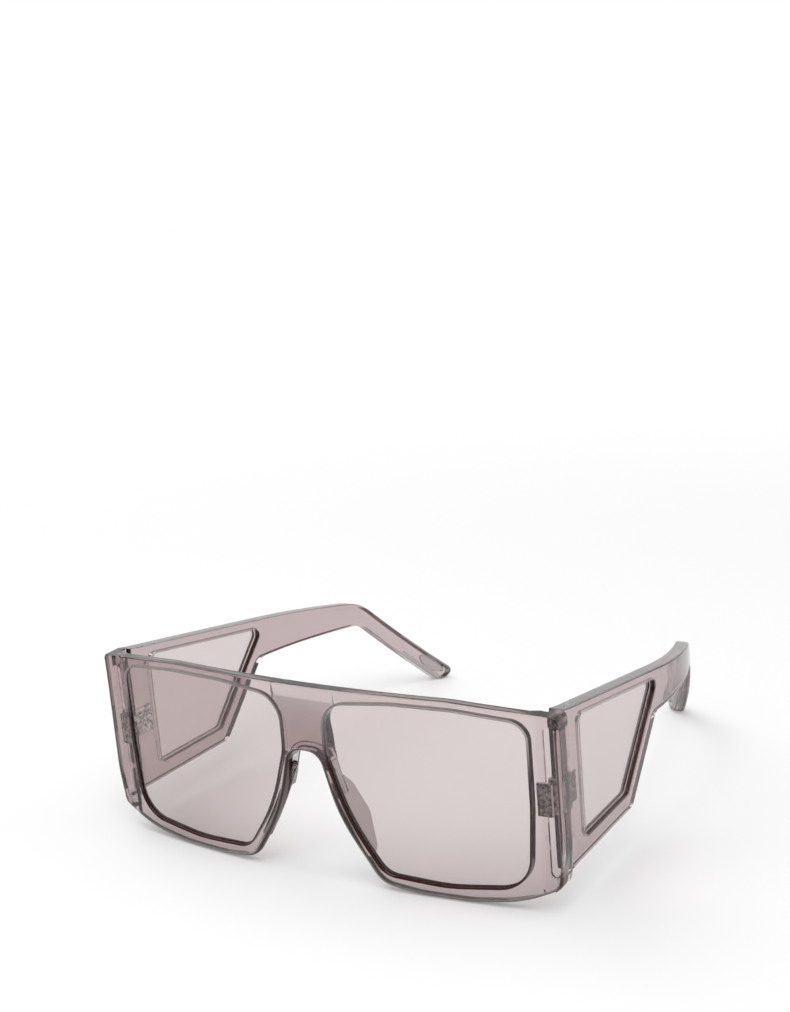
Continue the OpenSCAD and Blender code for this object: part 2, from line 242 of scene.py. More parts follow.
def joined(body, tools, operation):
    """The body with each tool added to it or cut from it."""
    for tool in tools:
        step = body.modifiers.new("join", "BOOLEAN")
        step.operation = operation
        step.solver = "MANIFOLD"
        step.object = tool
    bpy.context.view_layer.update()
    graph = bpy.context.evaluated_depsgraph_get()
    mesh = bpy.data.meshes.new_from_object(body.evaluated_get(graph))
    name = body.name
    for old in [body] + list(tools):
        bpy.data.objects.remove(old)
    mesh.name = name
    mesh.materials.clear()
    return finished(name, mesh)


def even_shading(piece):
    """Keeps the large faces of a moulding flat up to their eased edges."""
    weigh = piece.modifiers.new("even shading", "WEIGHTED_NORMAL")
    weigh.keep_sharp = True
    weigh.weight = 80


def face_y(x, depth):
    """How far back the curved front lies at x, this deep behind its outer face."""
    return FACE_R - math.sqrt((FACE_R - depth) ** 2 - x * x)


def front_place(x, z, depth):
    """A point of the curved plate."""
    return Vector((x, face_y(x, depth) - OVERALL_DEPTH / 2, z))


lens_shares = [
    (0.267, 0.018, 0.132), (0.585, 0, 1.2), (0.972, 0.051, 0.193), (0.998, 0.5, 1.6),
    (1, 0.962, 0.102), (0.658, 1, 1.2), (0.347, 1, 1.2), (0, 0.957, 0.153),
    (0.001, 0.66, 0.25), (0.094, 0.314, 1.2),
]
lens_corners = [
    (BRIDGE_W / 2 + a * LENS_W, RIM_LOW + b * LENS_H, c * LENS_H) for a, b, c in lens_shares
]
lens_opening = rounded(lens_corners)
nose_side = Vector(lens_corners[9][:2]) + Vector((-0.93, -0.38)) * RIM_NOSE
nose_foot = Vector(lens_corners[0][:2]) + Vector((-0.56, -1.12)) * RIM_NOSE
half_corners = [
    (ARCH_W / 2, FRONT_H - BRIDGE_H, ARCH_W / 2),
    (nose_side.x, nose_side.y, 60), (nose_foot.x, nose_foot.y, 8),
    (BRIDGE_W / 2 + 0.433 * LENS_W, 0, 40), (BRIDGE_W / 2 + 0.692 * LENS_W, 0, 40),
    (BRIDGE_W / 2 + 0.936 * LENS_W, 0.42 * RIM_LOW, 40),
    (HALF_W - 1.7, 6.6, 4), (HALF_W, 18, 40),
    (HALF_W, FRONT_H - TOP_DROP, 1.5), (BRIDGE_W / 2 + 0.64 * LENS_W, FRONT_H, 60),
]
front_corners = half_corners + [(-x, z, r) for x, z, r in reversed(half_corners)]
front_outline = rounded(front_corners)


def blend(a, b, value, start, end):
    """Goes gently from a to b while the value goes from start to end."""
    share = max(0.0, min(1.0, (value - start) / (end - start)))
    return a + (b - a) * share * share * (3 - 2 * share)


def front_edge_r(p):
    """The front's edge is crisp along the brow, full at the ends and softest under the lenses."""
    lower = blend(SOFT_R, RIM_R, p.y, 8, 22)
    side = blend(lower, blend(END_R, END_TOP_R, p.y, 48, 53), abs(p.x), 71, 73)
    return blend(side, BROW_R, p.y, 50, 55) if abs(p.x) < 72 else side


def front_back_r(p):
    """The back's edge is softest low down and sharp where the thick ends go on behind it."""
    return blend(blend(BACK_LOW_R, BACK_R, p.y, 6, 22), BACK_END_R, abs(p.x), 66, 68)


def both_sides(points):
    """This outline and its mirror image on the other side."""
    return [points, [Vector((-p.x, p.y)) for p in reversed(points)]]


front = moulding(
    "front_moulding",
    edge_rings(front_outline, FRONT_T, front_edge_r, front_back_r),
    [grooved_rings(hole, FRONT_T, OPENING_R, LENS_SINK) for hole in both_sides(lens_opening)],
    front_place, FRONT_T)

# Behind the plate the same moulding goes on: a thicker bridge between the lenses, a thick end
# on each side with the upright slot that the hinge barrel sits in, the nose arch's saddle, and
# the two leaf-shaped nose pads.
KNUCKLE_R = 1.35
KNUCKLE_GAP = 0.4
AXIS_X = WALL_X - KNUCKLE_GAP - KNUCKLE_R
FRONT_DEPTH = face_y(WALL_X, FRONT_T) + WALL_D
AXIS_Y = FRONT_DEPTH - KNUCKLE_R
HINGE_Z = 31.0
HINGE_H = 9.0
END_X = AXIS_X + 0.15
RIB_X = LENS_OUT + 0.7
RIB_RISE = 2.4
BRIDGE_D = 2.8
BRIDGE_TOP = FRONT_H - 0.6
WEDGE_LOW = 39
WEDGE_H = 13.7
SADDLE_D = 3.8
PAD_T = 1.8
PAD_FULL_T = 2.1
PAD_R = 0.9
PAD_D = 6.6
PAD_LEN = 25.0
PAD_FLARE = 24.0
SLOT_X = WALL_X - SLOT_W / 2
SLOT_LOW = 9.2
SLOT_TOP = FRONT_H - 5.6
SEAT_W = 4.0
SEAT_D = 3.6
SEAT_R = 0.5
SEAT_GAP = 0.05
LEAF_SINK = 1.0
# A block starts this far behind the plate's face, its wedge starts this far inside the plate's
# back, and its sides stay this far inside the plate's edge.
INSIDE_PLATE = 0.9
BACK_OVERLAP = 0.12
APART = 0.004


def straight_place(x, z, depth):
    """A point at a plain depth behind the front's foremost plane."""
    return Vector((x, depth - OVERALL_DEPTH / 2, z))


def block_behind(name, outline, back, edge_r, rise=None):
    """A block that starts inside the plate and ends behind it, where its rise is full."""
    start = face_y(max(abs(p.x) for p in outline), 0) + INSIDE_PLATE
    rings = [(points, [start + d for d in depths])
             for points, depths in edge_rings(outline, back - start, 0.0, edge_r)[6:]]

    def place(x, z, depth):
        depth = depth or start
        plate = face_y(x, FRONT_T) - BACK_OVERLAP
        if rise and depth > plate:
            depth = plate + (depth - plate) * rise(x, z)
        return straight_place(x, z, depth)

    return moulding(name, rings, [], place, back, grid=1.2 if rise else 12)


def beyond(outline, x_cut):
    """The part of an anticlockwise outline that lies past x_cut, closed by an upright line.

    It lies a hair inside the outline, so that its walls and the plate's don't coincide.
    """
    inner = moved_in(outline, [APART] * len(outline))
    kept = [p for p in inner if p.x > x_cut + 1]
    beside_cut = [p for p in kept if p.x < x_cut + 4]
    low = min(beside_cut, key=lambda p: p.y)
    first = kept.index(low)
    kept = kept[first:] + kept[:first]
    foot, slope = kept[0], (kept[1] - kept[0])
    corner = Vector((x_cut, foot.y - slope.y / slope.x * (foot.x - x_cut)))
    head, rise = kept[-1], (kept[-1] - kept[-2])
    top = Vector((x_cut, head.y - rise.y / rise.x * (head.x - x_cut)))
    steps = math.ceil((top.y - corner.y) / 2.5)
    return kept + [top.lerp(corner, k / steps) for k in range(steps + 1)]


def capsule(x, low, high, radius):
    """An upright opening with round ends."""
    return rounded([(x - radius, low, radius), (x + radius, low, radius),
                    (x + radius, high, radius), (x - radius, high, radius)])


def straight_bar(name, outline, low, high):
    """A bar with square ends, used to cut an opening through the moulding."""
    rings = [(outline, [d] * len(outline)) for d in (low, high)]
    return moulding(name, rings, [], lambda x, z, d: straight_place(x, z, d or low), high, 12)


wall = block_behind("end_wall", beyond(front_outline, END_X), FRONT_DEPTH, 0.3)
rib = block_behind("end_rib", beyond(front_outline, RIB_X), AXIS_Y - KNUCKLE_R, 0.2,
                   lambda x, z: blend(0.0, 1.0, x - RIB_X, 0, RIB_RISE))
slot_outline = capsule(SLOT_X, SLOT_LOW, SLOT_TOP, SLOT_W / 2)
slot = straight_bar("slot_cut", slot_outline, 4, 20)
end_left = joined(joined(wall, [rib], "UNION"), [slot], "DIFFERENCE")


def mirrored_copy(piece, name):
    """The same piece on the other side of the part."""
    mesh = piece.data.copy()
    mesh.transform(Matrix.Scale(-1, 4, (1, 0, 0)))
    return finished(name, mesh)


beside_bridge = [p for p in lens_opening if p.x < 10.2 and p.y > 34.5]
bridge_right = sorted((p + Vector((-0.02, 0)) for p in beside_bridge), key=lambda p: p.y)
bridge_foot = [Vector(p) for p in ((0, 37.35), (2.1, 37.3), (4.15, 35.9), (5.6, 34.2), (6.6, 33.4))]
half = bridge_foot + bridge_right + [Vector((x, BRIDGE_TOP)) for x in (10.1, 7.6, 5, 2.5, 0)]
bridge_outline = half + [Vector((-p.x, p.y)) for p in reversed(half) if p.x > 0.01]
bridge = block_behind("bridge_body", bridge_outline, FRONT_T + BRIDGE_D, 0.1,
                      lambda x, z: 1 - max(0.0, min(1.0, (z - WEDGE_LOW) / WEDGE_H)) ** 1.5)

arch_inner = moved_in(front_outline, [0.03] * len(front_outline))
arch_outer = moved_in(front_outline, [PAD_T - 0.3] * len(front_outline))
arch = [i for i, p in enumerate(front_outline) if abs(p.x) < 8.6 and 24 < p.y < 40]
arch.sort(key=lambda i: math.atan2(front_outline[i].x, front_outline[i].y - 28))
saddle_outline = [arch_inner[i] for i in arch] + [arch_outer[i] for i in reversed(arch)]
saddle = block_behind("saddle", saddle_outline, FRONT_T + SADDLE_D, 0.6)

pad_shares = [(0, 0, 0.3), (0.55, 0.12, 0.5), (1.02, 0.5, 0.9), (0.9, 0.85, 0.7),
              (0.45, 1.08, 0.6), (0, 1.17, 0.25)]
pad_top = FRONT_H - BRIDGE_H - SADDLE_D - 2.4 * PAD_T
pad_lean = math.atan2(nose_foot.x - ARCH_W / 2 - PAD_T, pad_top - nose_foot.y)
pad_turn = (Matrix.Translation((ARCH_W / 2 + PAD_T, FRONT_T - OVERALL_DEPTH / 2, pad_top))
            @ Matrix.Rotation(-pad_lean, 4, "Y")
            @ Matrix.Rotation(math.radians(90 - PAD_FLARE), 4, "Z")
            @ Matrix.Rotation(math.pi / 2, 4, "X"))


def pad_place(a, b, depth):
    """A pad's points, bowed a little towards the nose."""
    bow = 0.5 * math.sin(math.pi * max(0.0, min(1.0, 1 + b / PAD_LEN)))
    return pad_turn @ Vector((a, b, depth - PAD_T / 2 - bow))


pad_corners = [(a * PAD_D - 0.4, (b - 1) * PAD_LEN, c * PAD_D) for a, b, c in pad_shares]
pad_outline = rounded(pad_corners, 1.2)
pad_rings = edge_rings(pad_outline, PAD_FULL_T, PAD_R, PAD_R)
pad_left = moulding("pad_left", pad_rings, [], pad_place, PAD_FULL_T, 2.0)

seat = bpy.data.meshes.new("leaf_seat")
seat_front = face_y(AXIS_X - 1.65, FRONT_T) - LEAF_SINK
seat_y = seat_front - SEAT_GAP + SEAT_D / 2 - OVERALL_DEPTH / 2
seat_middle = (AXIS_X - KNUCKLE_R, seat_y, HINGE_Z)
work = bmesh.new()
bmesh.ops.create_cube(work, size=1)
bmesh.ops.scale(work, vec=(SEAT_W, SEAT_D, HINGE_H + 2 * SEAT_GAP), verts=work.verts)
bmesh.ops.bevel(work, geom=list(work.edges), offset=SEAT_R, segments=4, profile=0.5, affect="EDGES")
bmesh.ops.translate(work, verts=work.verts, vec=seat_middle)
bmesh.ops.scale(work, vec=(MM, MM, MM), verts=work.verts)
work.to_mesh(seat)
work.free()
seat_left = finished("seat_left", seat)

right_side = [mirrored_copy(end_left, "end_right"), mirrored_copy(pad_left, "pad_right")]
seat_right = mirrored_copy(seat_left, "seat_right")
front = joined(front, [end_left, pad_left, bridge, saddle] + right_side, "UNION")
front = joined(front, [seat_left, seat_right], "DIFFERENCE")
even_shading(front)
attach(front, "front")
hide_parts("front_frame")


def node(tree, kind, inputs=None, **settings):
    """A new node with these settings. Each input is a plain value or another node's output."""
    made = tree.nodes.new(kind)
    for name, value in settings.items():
        setattr(made, name, value)
    for name, value in (inputs or {}).items():
        if isinstance(value, bpy.types.NodeSocket):
            tree.links.new(value, made.inputs[name])
        else:
            made.inputs[name].default_value = value
    return made


def clear_plastic(name, tint, density, polish, shadow, wall):
    """Polished see-through plastic that colours the light by how far it travels inside.

    Faces marked "edge" get painted shade: they take the dark wall colour and let little light
    through, for the dark lines along the plastic's edges. Faces marked "matt" are frosted.
    """
    material = bpy.data.materials.new(name)
    material.use_nodes = True
    tree = material.node_tree
    tree.nodes.clear()
    edge = node(tree, "ShaderNodeAttribute", attribute_name="edge").outputs["Fac"]
    matt = node(tree, "ShaderNodeAttribute", attribute_name="matt").outputs["Fac"]
    spot = node(tree, "ShaderNodeTexCoord").outputs["Object"]
    # Painted shade: faces marked "edge" darken towards the wall colour and let less light through.
    body = node(tree, "ShaderNodeMix", {
        "Factor": edge, "A": (0.99, 0.985, 0.985, 1), "B": (*wall, 1)}, data_type="RGBA")
    clear = node(tree, "ShaderNodeMapRange", {"Value": edge, "To Min": 1, "To Max": 0.06})
    haze = node(tree, "ShaderNodeTexNoise", {"Vector": spot, "Scale": 180, "Detail": 4})
    smooth = node(tree, "ShaderNodeMapRange", {
        "Value": haze.outputs["Fac"], "From Min": 0.3, "From Max": 0.8,
        "To Min": polish * 0.6, "To Max": polish * 1.8})
    rough = node(tree, "ShaderNodeMath", {
        0: matt, 1: 0.32, 2: smooth.outputs["Result"]}, operation="MULTIPLY_ADD")
    flow = node(tree, "ShaderNodeTexNoise", {"Vector": spot, "Scale": 70, "Detail": 2})
    wave = node(tree, "ShaderNodeBump", {
        "Height": flow.outputs["Fac"], "Strength": 0.06, "Distance": 0.0005})
    gloss = node(tree, "ShaderNodeBsdfPrincipled", {
        "IOR": 1.5, "Specular IOR Level": 0.4, "Base Color": body.outputs["Result"],
        "Transmission Weight": clear.outputs["Result"], "Roughness": rough.outputs["Value"],
        "Normal": wave.outputs["Normal"]})
    thin = node(tree, "ShaderNodeBsdfTransparent", {"Color": (shadow, shadow, shadow, 1)})
    rays = node(tree, "ShaderNodeLightPath")
    surface = node(tree, "ShaderNodeMixShader", {
        "Fac": rays.outputs["Is Shadow Ray"], 1: gloss.outputs["BSDF"], 2: thin.outputs["BSDF"]})
    depth = node(tree, "ShaderNodeVolumeAbsorption", {"Color": (*tint, 1), "Density": density})
    node(tree, "ShaderNodeOutputMaterial", {
        "Surface": surface.outputs["Shader"], "Volume": depth.outputs["Volume"]})
    return material


# The wall colour is the painted shade along the front's and temples' edges.
smoky_plastic = clear_plastic(
    "smoky_plastic", tint=(0.68, 0.572, 0.58), density=400, polish=0.02, shadow=0.62,
    wall=(0.05, 0.014, 0.012))
front.data.materials.append(smoky_plastic)


def turned_away(face, way):
    """How far a face turns away from the moulding's broad faces, from 0 to 1."""
    return blend(1.0, 0.0, abs(face.normal.dot(way)), 0.3, 0.75)


def nearest_to(outlines):
    """A measure of how near a spot is to any of these outlines."""
    points = [p for outline in outlines for p in outline]
    tree = KDTree(len(points))
    for i, p in enumerate(points):
        tree.insert((p.x, p.y, 0), i)
    tree.balance()
    return lambda a, b: tree.find((a, b, 0))[2]


def mark(piece, name, measure):
    """Keeps one number for each face of a piece under a name that its plastic reads."""
    values = piece.data.attributes.new(name, "FLOAT", "FACE").data
    for face, value in zip(piece.data.polygons, values):
        value.value = measure(face)


near_opening = nearest_to(both_sides(rounded(lens_corners, 0.3)))
near_rim = nearest_to([rounded(front_corners, 0.3)])
near_slot = nearest_to(both_sides(slot_outline))
pad_way = pad_turn.to_3x3() @ Vector((0, 0, 1))


def front_painted_shade(face):
    """Painted shade on each face of the front, for the dark lines that a small dark studio puts
    along thick clear edges.

    The openings' walls get the most, darkest low down, then come the pads' edges and the saddle,
    the lower end of the slot, and the outer rims below the brow. The bridge's back and the pads'
    broad faces are only made a little darker.
    """
    x, y, z = face.center / MM
    depth = y + OVERALL_DEPTH / 2 - face_y(x, 0)
    away = turned_away(face, Vector((0, 1, 0)))
    in_plate = depth < FRONT_T + 0.1
    behind_plate = depth > FRONT_T + 0.2
    to_opening = near_opening(x, z)
    to_rim = near_rim(x, z)
    if in_plate and to_opening < 1.15:
        return blend(1.0, 0.4, z, 34, 50) if to_opening < 0.52 else away
    if behind_plate and abs(x) < 10 and 36 < z < FRONT_H - 2:
        return 0.1 * (1 - away)
    if behind_plate and abs(x) < 24 and z < 35:
        way = Vector((math.copysign(pad_way.x, x * pad_way.x), pad_way.y, pad_way.z))
        return blend(0.15, 0.95, turned_away(face, way), 0, 1)
    if near_slot(x, z) < 0.75 and abs(x) < WALL_X - 0.5 and depth > 1.0:
        return blend(0.95, 0.25, z, 25, 33) * away
    if in_plate and to_rim < 1.9 and z < FRONT_H - 8:
        strongest = blend(1.0, 0.0, abs(x), HALF_W - 1.5, HALF_W - 0.1)
        width = blend(1.35, 0.5, z, 8, 22)
        return strongest * blend(1.0, 0.0, to_rim, 0.4, 0.4 + width)
    return 0.0


def leaf_pockets(face):
    """The pockets that the hinge leaves are pressed into have frosted walls."""
    x, y, z = face.center / MM
    depth = y + OVERALL_DEPTH / 2
    beside = abs(abs(x) - AXIS_X + KNUCKLE_R) < SEAT_W / 2 + SEAT_GAP
    level = abs(z - HINGE_Z) < HINGE_H / 2 + 0.1
    wall = abs(face.normal.y) < 0.8 and seat_front - 0.1 < depth < AXIS_Y - KNUCKLE_R - SEAT_GAP
    return 1.0 if beside and level and wall else 0.0


# The "edge" mark paints shade along the front's edges; the "matt" mark only frosts.
mark(front, "edge", front_painted_shade)
mark(front, "matt", leaf_pockets)

# The mould's ejector pins leave small raised rings on the back of each thick end: two beside the
# joint and one next to the slot.
RING_R = 0.55
RING_BEAD = 0.09
RING_HIGH = 42
RING_LOW = 20


def node_group(name, sizes):
    """A Geometry Nodes tree that takes a mesh of spots and these sizes."""
    tree = bpy.data.node_groups.new(name, "GeometryNodeTree")
    tree.interface.new_socket(name="Geometry", in_out="OUTPUT", socket_type="NodeSocketGeometry")
    tree.interface.new_socket(name="Spots", in_out="INPUT", socket_type="NodeSocketGeometry")
    for size in sizes:
        tree.interface.new_socket(name=size, in_out="INPUT", socket_type="NodeSocketFloat")
    return tree, tree.nodes.new("NodeGroupInput")


def set_at_spots(name, tree, given, form, spots, sizes, material):
    """Sets the tree's form at every spot and turns the result into one plain mesh."""
    copies = node(tree, "GeometryNodeInstanceOnPoints", {
        "Points": given.outputs["Spots"], "Instance": form})
    real = node(tree, "GeometryNodeRealizeInstances", {"Geometry": copies.outputs["Instances"]})
    painted = node(tree, "GeometryNodeSetMaterial", {
        "Geometry": real.outputs["Geometry"], "Material": material})
    node(tree, "NodeGroupOutput", {"Geometry": painted.outputs["Geometry"]})
    mesh = bpy.data.meshes.new(name + "_spots")
    mesh.from_pydata([Vector(spot) * MM for spot in spots], [], [])
    holder = bpy.data.objects.new(name, mesh)
    bpy.context.scene.collection.objects.link(holder)
    step = holder.modifiers.new("copies", "NODES")
    step.node_group = tree
    for item in tree.interface.items_tree:
        if item.in_out == "INPUT" and item.name in sizes:
            step[item.identifier] = sizes[item.name] * MM
    bpy.context.view_layer.update()
    graph = bpy.context.evaluated_depsgraph_get()
    plain = bpy.data.meshes.new_from_object(holder.evaluated_get(graph))
    bpy.data.objects.remove(holder)
    return finished(name, plain)


tree, given = node_group("moulding_ring", ("Ring radius", "Bead radius"))
ring = node(tree, "GeometryNodeCurvePrimitiveCircle", {
    "Resolution": 32, "Radius": given.outputs["Ring radius"]})
bead = node(tree, "GeometryNodeCurvePrimitiveCircle", {
    "Resolution": 10, "Radius": given.outputs["Bead radius"]})
swept = node(tree, "GeometryNodeCurveToMesh", {
    "Curve": ring.outputs["Curve"], "Profile Curve": bead.outputs["Curve"]})
upright_ring = node(tree, "GeometryNodeTransform", {
    "Geometry": swept.outputs["Mesh"], "Rotation": (math.pi / 2, 0, 0)})
joint_x = HALF_W - 1.2
slot_side_x = WALL_X - SLOT_W - 0.7
ring_spots = []
for s in (-1, 1):
    for x, back, z in ((joint_x, FRONT_DEPTH, RING_HIGH), (joint_x, FRONT_DEPTH, RING_LOW),
                       (slot_side_x, AXIS_Y - KNUCKLE_R, RING_LOW)):
        ring_spots.append((s * x, back - OVERALL_DEPTH / 2, z))
rings = set_at_spots("moulding_rings", tree, given, upright_ring.outputs["Geometry"], ring_spots,
                     {"Ring radius": RING_R, "Bead radius": RING_BEAD}, smoky_plastic)
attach(rings, "front")

# The two front lenses are cut from curved sheet with a paler pink-beige tint and pushed into the
# groove round each opening, which holds them all the way round.
LENS_EDGE_R = 0.15
# The wall colour is the painted shade on the lenses' rim faces.
lens_plastic = clear_plastic(
    "lens_plastic", tint=(0.525, 0.38, 0.375), density=345, polish=0.015, shadow=0.93,
    wall=(0.035, 0.012, 0.011))


def lens_sheet(name, opening, place, way):
    """A lens that faces this way, with its edge in the groove round its opening."""
    edge = moved_in(opening, [-GROOVE_D] * len(opening))
    edges = edge_rings(edge, LENS_T, LENS_EDGE_R, LENS_EDGE_R, steps=2)
    lens = moulding(name, edges, [], place, LENS_T)
    even_shading(lens)
    # Painted shade on the lens's rim faces, darker the more they turn from its broad faces.
    mark(lens, "edge", lambda face: turned_away(face, way))
    lens.data.materials.append(lens_plastic)
    return lens


def lens_place(x, z, depth):
    """A point of a front lens, which lies in the middle of the plate's thickness."""
    return front_place(x, z, depth + LENS_SINK)


for side, hole in zip(("left", "right"), both_sides(lens_opening)):
    lens = lens_sheet("lens_" + side, hole, lens_place, Vector((0, 1, 0)))
    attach(lens, "front")
    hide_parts("front_lens_" + side)

# Each temple is moulded in the same plastic as the front: two bars round a long side window, then
# one arm that bows inwards and bends down to the tip, with softer edges towards the ear.
TEMPLE_T = 4.3
TEMPLE_LEN = 136.0
TEMPLE_LOW = 10.1
TOP_SLOPE = math.radians(9.9)
HEEL_SHARE = 0.294
NECK_SHARE = 0.439
NECK_H = 12.9
ARM_H = 7.8
TIP_W = 5.4
TIP_SLOPE = math.radians(47)
SPLAY = math.radians(1.7)
BOW_R = 130.0
WINDOW_Y = 9.0
BAR_LOW = 5.0
BAR_TOP = 3.1
TEMPLE_X = HALF_W - 1.1
TEMPLE_TOP = FRONT_H - TOP_DROP
JOINT_Y = FRONT_DEPTH + 0.15
SIDE_SINK = (TEMPLE_T - LENS_T) / 2
WINDOW_R = 0.35
RECESS_LEN = 6.85
RECESS_HALF = 4.15
RECESS_D = 1.15
RECESS_R = 0.6
PATCH_HALF = 5.0
PATCH_HALF_W = 1.75
PATCH_D = 0.4
TIP_FROM = 120
SIDES = (("left", 1), ("right", -1))


def meet(p, u, q, v):
    """Where the line through p along u meets the line through q along v."""
    across = q - p
    return p + u * ((across.x * v.y - across.y * v.x) / (u.x * v.y - u.y * v.x))


top_line = Vector((1, -math.tan(TOP_SLOPE)))
tip_line = Vector((math.cos(TIP_SLOPE), -math.sin(TIP_SLOPE)))
tip_up = Vector((math.sin(TIP_SLOPE), math.cos(TIP_SLOPE)))
tip_r = TIP_W * 0.42
tip_centre = Vector((TEMPLE_LEN - tip_r - (TIP_W - 2 * tip_r) * tip_up.x, tip_r))
tip_low_end = tip_centre + (tip_line - tip_up) * tip_r
tip_top_end = tip_low_end + tip_up * TIP_W
level = Vector((1, 0))
bend_top = meet(Vector((0, TEMPLE_TOP)), top_line, tip_top_end, tip_line)
bend_low = meet(Vector((0, bend_top.y - ARM_H)), level, tip_low_end, tip_line)
neck_y = NECK_SHARE * TEMPLE_LEN
neck = Vector((neck_y, TEMPLE_TOP + top_line.y * neck_y - NECK_H))
heel = Vector((HEEL_SHARE * TEMPLE_LEN, TEMPLE_LOW))
temple_outline = rounded([
    (0, TEMPLE_LOW, 0.4), (heel.x, heel.y, 3), (neck.x, neck.y, 5), (bend_low.x, bend_low.y, 9),
    (tip_low_end.x, tip_low_end.y, tip_r), (tip_top_end.x, tip_top_end.y, tip_r),
    (bend_top.x, bend_top.y, 16), (0, TEMPLE_TOP, 0.4),
])
heel_line = (neck - heel).normalized()
heel_in = Vector((-heel_line.y, heel_line.x))
window_top = Vector((0, TEMPLE_TOP - BAR_TOP / math.cos(TOP_SLOPE)))
upright = Vector((0, 1))
low_rear = meet(Vector((0, TEMPLE_LOW + BAR_LOW)), level, heel + heel_in * BAR_LOW, heel_line)
top_rear = meet(window_top, top_line, heel + heel_in * BAR_LOW, heel_line)
top_front = meet(window_top, top_line, Vector((WINDOW_Y, 0)), upright)
window = rounded([
    (WINDOW_Y, TEMPLE_LOW + BAR_LOW, 2), (low_rear.x, low_rear.y, 2),
    (top_rear.x, top_rear.y, 2), (top_front.x, top_front.y, 2),
])
BOW_Y = top_rear.x + GROOVE_D


def temple_place(y, z, depth, side):
    """A point of a temple from its side view and its depth behind the outer face."""
    x = -depth
    if y > BOW_Y:
        x = math.sqrt((BOW_R - depth) ** 2 - (y - BOW_Y) ** 2) - BOW_R
    along = y + depth * math.tan(SPLAY) * max(0.0, 1 - y / 7)
    across = TEMPLE_X + x * math.cos(SPLAY) - along * math.sin(SPLAY)
    back = JOINT_Y + x * math.sin(SPLAY) + along * math.cos(SPLAY)
    return Vector((side * across, back - OVERALL_DEPTH / 2, z))


def temple_edge_r(p):
    """Crisp at the joint, eased along the bars, and full round the tip."""
    return blend(blend(0.25, 0.55, p.x, 1, 3), 1.3, p.x, 85, 120)


def inner_cut(name, outline, deep, past, side):
    """A tool that sinks this outline into a temple's inner face, and reaches past it."""
    low = TEMPLE_T - deep
    rings = [(outline, [d] * len(outline)) for d in (low, past)]
    return moulding(name, rings, [], lambda y, z, d: temple_place(y, z, d or low, side), past, 12)


def leaf_recess(side):
    """The recess in a temple's inner face that its hinge leaf is let into."""
    low, high = HINGE_Z - RECESS_HALF, HINGE_Z + RECESS_HALF
    corners = [(-2, low, RECESS_R), (RECESS_LEN, low, RECESS_R),
               (RECESS_LEN, high, RECESS_R), (-2, high, RECESS_R)]
    return inner_cut("leaf_recess", rounded(corners, 3), RECESS_D, 7, side)


def tip_patch(side):
    """The shallow oval patch in the inner face of the tip."""
    back = (TEMPLE_LEN * 0.05 - tip_r / 2) / tip_line.x
    centre = tip_top_end - tip_up * TIP_W / 2 - tip_line * back
    oval = []
    for k in range(40):
        a = 2 * math.pi * k / 40
        along = tip_line * (PATCH_HALF * math.cos(a))
        oval.append(centre - along - tip_up * (PATCH_HALF_W * math.sin(a)))
    return inner_cut("tip_patch", oval, PATCH_D, 6, side)


def temple_spot(point, side):
    """A point's place in the temple's own side view, and its depth behind the outer face."""
    x, y = side * point.x / MM - TEMPLE_X, point.y / MM + OVERALL_DEPTH / 2 - JOINT_Y
    across = x * math.cos(SPLAY) + y * math.sin(SPLAY)
    along = y * math.cos(SPLAY) - x * math.sin(SPLAY)
    if along > BOW_Y:
        return along, point.z / MM, BOW_R - math.hypot(across + BOW_R, along - BOW_Y)
    return along, point.z / MM, -across


near_window = nearest_to([window])


def temple_way(along, side):
    """The direction across the temple at one place along it."""
    turn = SPLAY + math.asin(max(0.0, along - BOW_Y) / BOW_R)
    return Vector((side * math.cos(turn), math.sin(turn), 0))


def in_leaf_recess(along, up):
    """Whether a place in the temple's side view lies within its hinge leaf's recess."""
    return along < RECESS_LEN + 0.15 and abs(up - HINGE_Z) < RECESS_HALF + 0.15


def temple_painted_shade(face, side):
    """Painted shade on each face of a temple: the window's walls most, then the tip's end; the
    floor of the tip's patch is darker too.

    Elsewhere only the rounding between the broad faces and the edges gets painted shade.
    """
    along, up, depth = temple_spot(face.center, side)
    away = turned_away(face, temple_way(along, side))
    if along < 0.6 or depth > TEMPLE_T - RECESS_D - 0.15 and in_leaf_recess(along, up):
        return 0.0
    if near_window(along, up) < 1.15:
        front_wall = along < WINDOW_Y + 0.7 and away > 0.95
        return 0.25 if front_wall else away
    if along > TIP_FROM and 1.0 < depth < TEMPLE_T - 0.05 and away < 0.5:
        return 0.45
    if along > TEMPLE_LEN - 1.5:
        return 0.9 * away
    return 0.06 * away + 3.4 * away * (1 - away)


def rough_pockets(face, side):
    """The walls of the hinge leaf's recess and the floor of the tip's patch are frosted."""
    along, up, depth = temple_spot(face.center, side)
    away = turned_away(face, temple_way(along, side))
    below_face = 1.0 < depth < TEMPLE_T - 0.05
    recess_wall = in_leaf_recess(along, up) and away > 0.2
    patch_floor = along > TIP_FROM and away < 0.5
    return 1.0 if below_face and (recess_wall or patch_floor) else 0.0


for name, side in SIDES:
    body = moulding("temple_moulding_" + name,
                    edge_rings(temple_outline, TEMPLE_T, temple_edge_r, temple_edge_r),
                    [grooved_rings(window, TEMPLE_T, WINDOW_R, SIDE_SINK)],
                    lambda y, z, d: temple_place(y, z, d, side), TEMPLE_T)
    temple = joined(body, [leaf_recess(side), tip_patch(side)], "DIFFERENCE")
    even_shading(temple)
    # Painted shade along the temple's edges and round its window.
    mark(temple, "edge", lambda face: temple_painted_shade(face, side))
    mark(temple, "matt", lambda face: rough_pockets(face, side))
    temple.data.materials.append(smoky_plastic)
    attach(temple, name + "_temple")
    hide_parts("temple_" + name)

